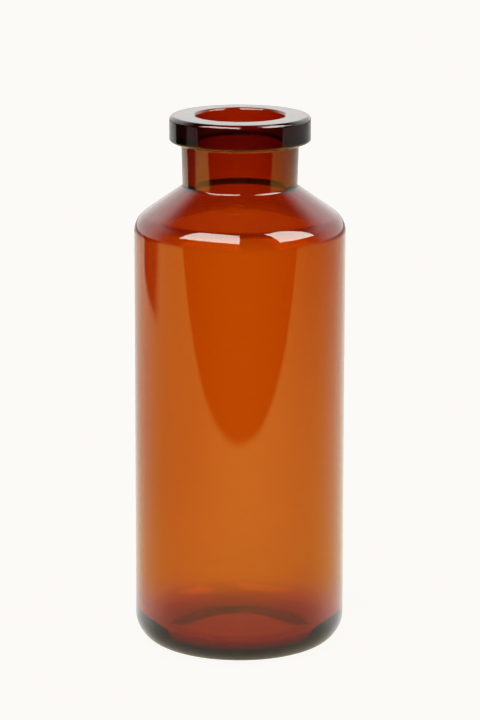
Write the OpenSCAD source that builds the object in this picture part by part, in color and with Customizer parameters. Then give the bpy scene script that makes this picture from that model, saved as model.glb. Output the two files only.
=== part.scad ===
// Amber tubular-glass vial with a 20 mm crimp finish, open and empty.
//
// The vial is one piece of glass. Each node is one named region of it: base, body,
// shoulder, neck and crown. The regions are cut from one half section by level
// planes, so each meets the next face to face with nothing between them.
// Origin: centre of the standing plane. +Z runs up the axis of the vial.

/* [Body] */
// Outside diameter of the tube
body_d = 30; // [29:0.5:34]
// Height from the standing plane to the top face
height = 76.4; // [70:0.2:90]
// Thickness of the wall of the tube
wall = 1.2; // [1:0.1:1.4]

/* [Base] */
// Radius of the heel, between the side and the bottom
heel_r = 4.2; // [3:0.1:4.4]
// Radius inside, between the floor and the wall
floor_turn_r = 3; // [2:0.1:3.2]
// Thickness of the bottom over the hollow
floor_t = 1.7; // [1:0.1:2]
// Diameter of the hollow under the bottom
hollow_d = 20; // [18:0.5:20]
// Diameter of the flat middle of the hollow
hollow_flat_d = 13.6; // [11:0.2:14]
// Depth of the hollow
hollow_rise = 0.6; // [0.3:0.1:1.2]
// Radius of the turn from the flat middle into the slope
hollow_turn_r = 12; // [4:1:14]
// Radius of the edge between the hollow and the standing ring
hollow_edge_r = 0.6; // [0.3:0.1:1]

/* [Shoulder] */
// Height at which the lines of the neck and the shoulder would meet
shoulder_z = 66.4; // [60:0.2:67]
// Slope of the shoulder below level, in degrees
shoulder_angle = 35.5; // [32:0.5:40]
// Thickness of the wall of the shoulder
shoulder_wall = 1.5; // [1.3:0.1:1.6]
// Radius of the turn from the shoulder into the side
shoulder_r = 3; // [2:0.1:4]
// Radius of the same turn inside
shoulder_inner_r = 2.5; // [1:0.1:3]
// Radius of the turn from the neck into the shoulder
neck_turn_r = 0.4; // [0.3:0.1:1.2]
// Radius inside, where the bore opens into the shoulder
bore_turn_r = 0.9; // [0.5:0.1:1.6]

/* [Neck and crown] */
// Diameter of the bore through the crown and the neck
bore_d = 12.6; // [12.4:0.1:12.8]
// Outside diameter of the neck under the crown
neck_top_d = 16.65; // [16:0.05:17.5]
// Outside diameter of the neck at the shoulder
neck_low_d = 16.33; // [16:0.01:16.8]
// Diameter of the crown, which a 20 mm crimp cap closes on
crown_d = 20; // [19.8:0.1:20.2]
// Thickness of the crown
crown_t = 3.75; // [3.3:0.05:3.9]
// Radius of the crown's upper edge
crown_top_r = 0.6; // [0.4:0.1:0.8]
// Radius of the crown's lower edge
crown_low_r = 0.4; // [0.3:0.1:0.6]
// Radius between the crown's underside and the neck
crown_root_r = 0.4; // [0.2:0.1:0.6]
// Radius of the bore's edge at the top face
mouth_r = 0.4; // [0.2:0.05:0.5]

/* [Hidden] */
$fn = 180;
// Degrees from one point of a turn to the next
turn_step = 7.5;

amber = [0.62, 0.26, 0.05, 0.75];
body_r = body_d / 2;
inner_r = body_r - wall;
bore_r = bore_d / 2;
crown_r = crown_d / 2;
crown_z = height - crown_t;

// Rise of the shoulder for each millimetre nearer to the axis
slope = tan(shoulder_angle);
// Drop of the inside of the shoulder below its outside
wall_drop = shoulder_wall / cos(shoulder_angle);
// Where the shoulder's outside meets the side, before rounding
side_z = shoulder_z - (body_r - neck_low_d / 2) * slope;
// The same two corners inside
inner_side_z = side_z + wall * slope - wall_drop;
inner_neck_z = side_z + (body_r - bore_r) * slope - wall_drop;

// A turn of radius r in the shoulder reaches this far along each line
function reach(r) = r * tan(45 - shoulder_angle / 2);

// Planes that part the regions, each a little way along from the nearest turns
margin = 0.3;
floor_z = hollow_rise + floor_t;
base_top = max(heel_r, floor_z + floor_turn_r) + margin;
body_top = min(side_z - reach(shoulder_r), inner_side_z - reach(shoulder_inner_r)) - margin;
neck_low = max(shoulder_z + reach(neck_turn_r), inner_neck_z + reach(bore_turn_r)) + margin;
neck_top = crown_z - crown_root_r - margin;

function unit(v) = v / norm(v);

// Points of the turn of radius r that rounds corner b on the way from a to c
function turn(a, b, c, r) =
    let (back = unit(a - b), on = unit(c - b))
    let (half = acos(back * on) / 2, sweep = 180 - 2 * half)
    let (centre = b + unit(back + on) * r / sin(half))
    let (first = unit(b + back * r / tan(half) - centre))
    let (last = unit(b + on * r / tan(half) - centre))
    let (n = ceil(sweep / turn_step))
    [for (i = [0 : n])
        centre + r * (sin(sweep * (1 - i / n)) * first + sin(sweep * i / n) * last) / sin(sweep)];

// Outline through corners [x, y, radius], each rounded where its radius isn't 0
function rounded(corners) =
    let (n = len(corners), pts = [for (c = corners) [c.x, c.y]])
    [for (i = [0 : n - 1]) each corners[i].z == 0
        ? [pts[i]]
        : turn(pts[(i + n - 1) % n], pts[i], pts[(i + 1) % n], corners[i].z)];

// Half section of the vial as if it were solid
module outside() {
    polygon(rounded([
        [0, hollow_rise, 0],
        [hollow_flat_d / 2, hollow_rise, hollow_turn_r],
        [hollow_d / 2, 0, hollow_edge_r],
        [body_r, 0, heel_r],
        [body_r, side_z, shoulder_r],
        [neck_low_d / 2, shoulder_z, neck_turn_r],
        [neck_top_d / 2, crown_z, crown_root_r],
        [crown_r, crown_z, crown_low_r],
        [crown_r, height, crown_top_r],
        [0, height, 0]
    ]));
}

// Half section of the space inside, running out through the mouth
module inside() {
    polygon(rounded([
        [0, floor_z, 0],
        [inner_r, floor_z, floor_turn_r],
        [inner_r, inner_side_z, shoulder_inner_r],
        [bore_r, inner_neck_z, bore_turn_r],
        [bore_r, height, mouth_r],
        [crown_r, height, 0],
        [crown_r, height + 1, 0],
        [0, height + 1, 0]
    ]));
}

// The glass between two heights
module glass(low, high) {
    rotate_extrude() intersection() {
        difference() {
            outside();
            inside();
        }
        translate([0, low]) square([body_r + 1, high - low]);
    }
}

// Floor with its hollow underside, the standing ring and the heel
module base() {
    color(amber) glass(-1, base_top);
}

// Straight tube
module body() {
    color(amber) glass(base_top, body_top);
}

// Sloping shoulder, with its turns into the side and into the neck
module shoulder() {
    color(amber) glass(body_top, neck_low);
}

// Neck between the shoulder and the crown
module neck() {
    color(amber) glass(neck_low, neck_top);
}

// Thick rim that takes the stopper's flange and the crimp cap's skirt
module crown() {
    color(amber) glass(neck_top, height + 1);
}

base();
body();
shoulder();
neck();
crown();
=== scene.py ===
import math
import bmesh
import bpy
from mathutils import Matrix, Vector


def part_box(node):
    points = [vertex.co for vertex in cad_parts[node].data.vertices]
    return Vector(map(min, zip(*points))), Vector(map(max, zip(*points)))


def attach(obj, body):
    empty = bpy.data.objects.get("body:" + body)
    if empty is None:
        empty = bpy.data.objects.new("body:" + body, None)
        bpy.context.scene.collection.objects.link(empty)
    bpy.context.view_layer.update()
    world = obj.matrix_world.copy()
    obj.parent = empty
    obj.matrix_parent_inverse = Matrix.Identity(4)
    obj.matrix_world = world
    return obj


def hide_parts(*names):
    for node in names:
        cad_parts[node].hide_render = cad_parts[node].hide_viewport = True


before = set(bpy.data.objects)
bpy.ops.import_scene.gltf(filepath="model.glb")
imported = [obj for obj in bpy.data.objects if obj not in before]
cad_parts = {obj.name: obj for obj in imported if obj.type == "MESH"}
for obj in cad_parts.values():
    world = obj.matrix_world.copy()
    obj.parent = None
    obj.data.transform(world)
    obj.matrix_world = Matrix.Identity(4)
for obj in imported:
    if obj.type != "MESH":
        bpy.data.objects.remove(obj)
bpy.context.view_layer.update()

scene = bpy.context.scene
mm = 0.001

camera = {
    "side": 0.04 * mm,  # from the vial's axis, along X
    "back": 506.2 * mm,  # from the axis, towards -Y
    "height": 157.5 * mm,  # above the table
    "tilt": 12.95,  # degrees down from level
    "roll": 0.11,  # degrees
    "lens": 182.5,  # on a 36 mm frame
    "clip": (10 * mm, 20),
    "glassBounces": 24,  # light crosses the two walls and the crown many times
    "mirrorBounces": 12,
    "film": [(0.8, 0.8), (1.0, 0.915), (1.3, 0.95), (2.0, 0.98), (3.0, 1.0)],  # light in, light shown
    "tint": (1, 0.982, 0.955),  # whites are a little warm
}


# film rolls off gently into white
def softenWhites():
    view = scene.view_settings
    view.view_transform = "Standard"
    view.look = "None"
    view.use_curve_mapping = True
    film = view.curve_mapping
    film.clip_max_x = film.clip_max_y = camera["film"][-1][0]
    film.curves[3].points[-1].location = (film.clip_max_x, film.clip_max_y)
    for channel, most in enumerate(camera["tint"]):
        points = film.curves[channel].points
        light, shown = camera["film"][-1]
        points[-1].location = (light, shown * most)
        for light, shown in camera["film"][:-1]:
            points.new(light, shown * most)
    film.update()


def makeCamera():
    data = bpy.data.cameras.new("camera")
    data.lens = camera["lens"]
    data.clip_start, data.clip_end = camera["clip"]
    stand = bpy.data.objects.new("camera", data)
    stand.location = (camera["side"], -camera["back"], camera["height"])
    stand.rotation_mode = "ZYX"  # the roll first, about the lens
    stand.rotation_euler = (math.radians(90 - camera["tilt"]), 0, math.radians(camera["roll"]))
    scene.collection.objects.link(stand)
    scene.camera = stand
    softenWhites()
    scene.cycles.max_bounces = camera["glassBounces"]
    scene.cycles.transmission_bounces = camera["glassBounces"]
    scene.cycles.glossy_bounces = camera["mirrorBounces"]
    print("camera set")


class Wire:
    def __init__(self, tree, socket=None):
        self.tree = tree
        self.socket = socket

    # adds a node: its type, the values or links of its sockets, the sockets to read, its settings
    def node(self, kind, values, *outs, **settings):
        made = self.tree.nodes.new("ShaderNode" + kind)
        for name, value in settings.items():
            setattr(made, name, value)
        for name, value in values.items():
            if isinstance(value, Wire):
                self.tree.links.new(value.socket, made.inputs[name])
            else:
                made.inputs[name].default_value = value
        wires = [Wire(self.tree, made.outputs[out]) for out in outs or (0,)]
        return wires if len(wires) > 1 else wires[0]

    def sum(self, operation, first, second):
        return self.node("Math", {0: first, 1: second}, operation=operation)

    def __add__(self, other):
        return self.sum("ADD", self, other)

    def __radd__(self, other):
        return self.sum("ADD", other, self)

    def __sub__(self, other):
        return self.sum("SUBTRACT", self, other)

    def __rsub__(self, other):
        return self.sum("SUBTRACT", other, self)

    def __mul__(self, other):
        return self.sum("MULTIPLY", self, other)

    def __rmul__(self, other):
        return self.sum("MULTIPLY", other, self)

    def __truediv__(self, other):
        return self.sum("DIVIDE", self, other)

    # goes smoothly from 0 to 1 as the value passes an edge
    def past(self, edge, blur):
        ends = {"Value": self, "From Min": edge - blur / 2, "From Max": edge + blur / 2}
        return self.node("MapRange", ends, "Result", interpolation_type="SMOOTHSTEP")

    def mix(self, low, high):
        return self.node("Mix", {0: self, 6: low, 7: high}, 2, data_type="RGBA")


def newMaterial(name):
    material = bpy.data.materials.new(name)
    material.use_nodes = True
    return material, material.node_tree.nodes["Principled BSDF"], Wire(material.node_tree)


vial = {
    "wall": 1.2 * mm,
    "shoulderWall": 1.5 * mm,
    "heel": 4.2 * mm,  # outer turn from side to base
    "floor": 1.7 * mm,
    "floorTurn": 3.0 * mm,  # inner turn from wall to floor
    "hollow": 10.0 * mm,  # radius of the hollow underneath
    "hollowEdge": 0.6 * mm,
    "hollowFlat": 6.8 * mm,  # radius of its flat middle
    "hollowTurn": 12.0 * mm,
    "hollowRise": 0.6 * mm,
    "slope": 35.5,  # degrees below level
    "shoulderTurn": 3.0 * mm,
    "shoulderInnerTurn": 2.5 * mm,
    "shoulderCorner": 66.4 * mm,  # height where slope and neck would meet
    "neckLow": 8.165 * mm,
    "neckTop": 8.325 * mm,
    "neckTurn": 0.4 * mm,
    "bore": 6.3 * mm,
    "boreTurn": 0.9 * mm,
    "crownThick": 3.75 * mm,
    "crownRoot": 0.4 * mm,
    "crownLow": 0.4 * mm,
    "crownTop": 0.6 * mm,
    "mouthEdge": 0.4 * mm,
    "turnSegments": 14,
    "steps": 256,
    "hold": 0.12 * mm,  # short strips beside each turn keep the long faces flat
    "holdLeast": 6,  # only on faces over this many strips long
    "merge": 0.0005 * mm,
}


# the wall's section from the middle underneath, up the outside and down the inside: radius, height, turn
def section():
    v = vial
    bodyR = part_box("body")[1].x
    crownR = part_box("crown")[1].x
    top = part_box("crown")[1].z
    crownZ = top - v["crownThick"]
    slope = math.tan(math.radians(v["slope"]))
    sideZ = v["shoulderCorner"] - (bodyR - v["neckLow"]) * slope
    drop = v["shoulderWall"] / math.cos(math.radians(v["slope"]))
    innerR = bodyR - v["wall"]
    floorZ = v["hollowRise"] + v["floor"]
    return [
        (0, v["hollowRise"], 0),
        (v["hollowFlat"], v["hollowRise"], v["hollowTurn"]),
        (v["hollow"], 0, v["hollowEdge"]),
        (bodyR, 0, v["heel"]),
        (bodyR, sideZ, v["shoulderTurn"]),
        (v["neckLow"], v["shoulderCorner"], v["neckTurn"]),
        (v["neckTop"], crownZ, v["crownRoot"]),
        (crownR, crownZ, v["crownLow"]),
        (crownR, top, v["crownTop"]),
        (v["bore"], top, v["mouthEdge"]),
        (v["bore"], sideZ + (bodyR - v["bore"]) * slope - drop, v["boreTurn"]),
        (innerR, sideZ + v["wall"] * slope - drop, v["shoulderInnerTurn"]),
        (innerR, floorZ, v["floorTurn"]),
        (0, floorZ, 0),
    ]


def roundCorner(bm, point, turn):
    arms = [(edge.other_vert(point).co - point.co).normalized() for edge in point.link_edges]
    offset = turn / math.tan(arms[0].angle(arms[1]) / 2)
    bmesh.ops.bevel(bm, geom=[point], offset=offset, offset_type="OFFSET", segments=vial["turnSegments"],
                    profile=0.5, affect="VERTICES", material=-1)


def holdEnds(bm, edge):
    hold = vial["hold"]
    length = edge.calc_length()
    if length > vial["holdLeast"] * hold:
        start, end = edge.verts
        nearShade = bmesh.utils.edge_split(edge, start, hold / length)[1]
        rest = [e for e in nearShade.link_edges if end in e.verts][0]
        bmesh.utils.edge_split(rest, end, hold / (length - hold))


def makeGlass():
    bm = bmesh.new()
    corners = section()
    points = [bm.verts.new((r, 0, z)) for r, z, turn in corners]
    for a, b in zip(points, points[1:]):
        bm.edges.new((a, b))
    for point, (r, z, turn) in zip(points, corners):
        if turn:
            roundCorner(bm, point, turn)
    for edge in list(bm.edges):
        holdEnds(bm, edge)
    bmesh.ops.spin(bm, geom=bm.verts[:] + bm.edges[:], axis=(0, 0, 1), cent=(0, 0, 0),
                   angle=math.tau, steps=vial["steps"], use_merge=True)
    bmesh.ops.remove_doubles(bm, verts=bm.verts, dist=vial["merge"])
    bmesh.ops.recalc_face_normals(bm, faces=bm.faces)
    for face in bm.faces:
        face.smooth = True
    mesh = bpy.data.meshes.new("vial_glass")
    bm.to_mesh(mesh)
    mesh.materials.append(amberGlass())
    glass = bpy.data.objects.new("vial_glass", mesh)
    scene.collection.objects.link(glass)
    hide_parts("base", "body", "shoulder", "neck", "crown")
    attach(glass, "root")
    print("glass made,", len(mesh.polygons), "faces")


amber = {
    "ior": 1.5,
    "absorbs": (540, 1410, 3800),  # red, green and blue, per metre
    "ripple": (400, 400, 60),  # per metre, long along the drawn tube
    "rippleHeight": 0.012 * mm,
    "rippleDetail": 2,
    "haze": 0.012,  # most roughness, in patches
    "hazeScale": 250,  # per metre
    "hazeDetail": 3,
}


def amberGlass():
    material, shader, wire = newMaterial("amber_glass")
    shader.inputs["Base Color"].default_value = (1, 1, 1, 1)
    shader.inputs["IOR"].default_value = amber["ior"]
    shader.inputs["Transmission Weight"].default_value = 1
    place = wire.node("TexCoord", {}, "Object")
    drawn = wire.node("VectorMath", {0: place, 1: amber["ripple"]}, "Vector", operation="MULTIPLY")
    ripple = wire.node("TexNoise", {"Vector": drawn, "Scale": 1, "Detail": amber["rippleDetail"]}, "Fac")
    ripple = wire.node("Bump", {"Height": ripple, "Strength": 1, "Distance": amber["rippleHeight"]}, "Normal")
    patches = {"Vector": place, "Scale": amber["hazeScale"], "Detail": amber["hazeDetail"]}
    haze = wire.node("TexNoise", patches, "Fac")
    wire.tree.links.new(ripple.socket, shader.inputs["Normal"])
    wire.tree.links.new((haze * amber["haze"]).socket, shader.inputs["Roughness"])
    density = max(amber["absorbs"])
    kept = [1 - one / density for one in amber["absorbs"]]
    volume = wire.node("VolumeAbsorption", {"Color": (*kept, 1), "Density": density})
    wire.tree.links.new(volume.socket, wire.tree.nodes["Material Output"].inputs["Volume"])
    return material


room = {
    "windowLight": 12,
    "windowColor": (1, 0.97, 0.9),
    "windowAway": 3,  # metres from the vial
    # name, then in degrees: round from the camera's side, half its width, its lowest and its highest
    "windows": [
        ("window_left", -37, 37, 31, 67),
        ("window_right", 70, 24, 26, 66),
    ],
    "backWall": 1.4,
    "wallSide": (0.2, 0.6),  # Y of the direction where the back wall starts, and its fade
    "wallTop": (0.65, 0.25),  # Z of the direction where it ends, and its fade
    "ceiling": 0.02,
    "backdrop": 0.95,
}


def makeWindows():
    away = room["windowAway"]
    for name, round, half, low, high in room["windows"]:
        width = 2 * away * math.tan(math.radians(half))
        bottom, top = [away * math.tan(math.radians(angle)) for angle in (low, high)]
        data = bpy.data.lights.new(name, "AREA")
        data.shape = "RECTANGLE"
        data.size = width
        data.size_y = top - bottom
        data.color = room["windowColor"]
        data.energy = room["windowLight"] * math.pi * width * (top - bottom)
        window = bpy.data.objects.new(name, data)
        turn = math.radians(round)
        window.location = (away * math.sin(turn), -away * math.cos(turn), (top + bottom) / 2)
        window.rotation_euler = (math.radians(90), 0, turn)
        window.visible_camera = False
        scene.collection.objects.link(window)


table = {
    "half": 3,  # half its width
    "gap": 0.02 * mm,  # under the glass
    "white": (0.2, 0.2, 0.198, 1),
    "rough": 0.9,
    "paintedGlow": 6.2,  # painted glow: the paper gives off light of its own, though it is no lamp, so shadows on it stay light
}

# painted reflections: colours the table shows only to reflection rays, so the glass mirrors painted light and
# shade; an edge is its place and the width it fades over
mirror = {
    # reflection colours, all painted: white is the mirrored table, warm a painted amber tint, the near one a
    # painted shade by the vial, dark the painted dark beyond the front edge
    "white": (0.168, 0.168, 0.166, 1),
    "warm": (0.24, 0.18, 0.036, 1),
    "nearShade": (0.09, 0.08, 0.064, 1),
    "dark": (0, 0, 0, 1),
    "front": (-143 * mm, 12 * mm),  # the painted white reflection ends here, painted dark beyond
    "frontKept": 0.03,  # and this much of it is left beyond
    # painted shades in the reflection: the way they lie, the edge and the light lost past it
    "shades": [
        ("right", 200 * mm, 400 * mm, 0.65),
        ("left", 60 * mm, 120 * mm, 0.25),
        ("left", 370 * mm, 140 * mm, 0.6),
        ("away", 370 * mm, 60 * mm, 0.3),
    ],
    # one painted dark patch of shade in the reflection, to the left and behind
    "patchLeft": (230 * mm, 20 * mm),
    "patchBack": (40 * mm, 60 * mm),
    "patchCut": (-30 * mm, 30 * mm),
    "patchSlant": 0.8,
    "patchLost": 0.95,
    # the painted warm ring of reflection, and the painted shade by the vial; 1 is straight behind it and -1
    # in front
    "warmStart": (40 * mm, 30 * mm),
    "warmEnd": (390 * mm, 160 * mm),
    "warmBehind": (0.5, 1.4),
    "nearEnd": (50 * mm, 30 * mm),
    "nearBehind": (-0.2, 0.8),
}


# white paper with a painted glow; reflection rays see painted colours instead of its own, so the outer side
# of the glass shows painted reflections and shade
def tableWhite():
    material, shader, wire = newMaterial("table_white")
    shader.inputs["Roughness"].default_value = table["rough"]
    shader.inputs["Specular IOR Level"].default_value = 0
    # painted glow, which keeps the table's shadows light
    shader.inputs["Emission Strength"].default_value = table["paintedGlow"]
    place = wire.node("TexCoord", {}, "Object")
    x, y = wire.node("SeparateXYZ", {0: place}, "X", "Y")
    away = wire.node("VectorMath", {0: place}, "Value", operation="LENGTH")
    ways = {"right": x, "left": 0 - x, "away": away}
    behind = y / away
    # painted reflection brightness, with painted shades and a painted dark patch
    level = y.past(*mirror["front"]) * (1 - mirror["frontKept"]) + mirror["frontKept"]
    for way, edge, blur, lost in mirror["shades"]:
        level = level * (1 - lost * ways[way].past(edge, blur))
    shadePatch = ways["left"].past(*mirror["patchLeft"]) * y.past(*mirror["patchBack"])
    shadePatch = shadePatch * (1 - (y + mirror["patchSlant"] * x).past(*mirror["patchCut"]))
    level = level * (1 - mirror["patchLost"] * shadePatch)
    # painted warm tint of the reflection, then the painted shade by the vial
    warm = 1 - behind.past(*mirror["warmBehind"])
    warm = warm * (1 - away.past(*mirror["warmEnd"])) * away.past(*mirror["warmStart"])
    nearShade = (1 - away.past(*mirror["nearEnd"])) * (1 - behind.past(*mirror["nearBehind"]))
    paintedReflection = level.mix(mirror["dark"], warm.mix(mirror["white"], mirror["warm"]))
    paintedReflection = nearShade.mix(paintedReflection, mirror["nearShade"])
    # reflection rays see the painted reflection colours, other rays the plain white; the painted glow gives
    # off the same colours
    bounced = wire.node("LightPath", {}, "Is Reflection Ray")
    white = bounced.mix(table["white"], paintedReflection)
    wire.tree.links.new(white.socket, shader.inputs["Base Color"])
    wire.tree.links.new(white.socket, shader.inputs["Emission Color"])
    return material


def makeTable():
    bm = bmesh.new()
    bmesh.ops.create_grid(bm, x_segments=1, y_segments=1, size=table["half"])
    bmesh.ops.translate(bm, vec=(0, 0, -table["gap"]), verts=bm.verts)
    mesh = bpy.data.meshes.new("table")
    bm.to_mesh(mesh)
    mesh.materials.append(tableWhite())
    sheet = bpy.data.objects.new("table", mesh)
    scene.collection.objects.link(sheet)


def makeRoom():
    world = bpy.data.worlds.new("room")
    scene.world = world
    world.use_nodes = True
    wire = Wire(world.node_tree)
    way = wire.node("TexCoord", {}, "Generated")
    y, z = wire.node("SeparateXYZ", {0: way}, "Y", "Z")
    wall = y.past(*room["wallSide"]) * (1 - z.past(*room["wallTop"]))
    light = room["ceiling"] + wall * (room["backWall"] - room["ceiling"])
    seen = wire.node("LightPath", {}, "Is Camera Ray")
    light = light + seen * (room["backdrop"] - light)
    sky = world.node_tree.nodes["Background"]
    wire.tree.links.new(light.socket, sky.inputs["Strength"])
    sky.inputs["Color"].default_value = (1, 1, 1, 1)


makeCamera()
makeGlass()
makeWindows()
makeTable()
makeRoom()
print("room set")
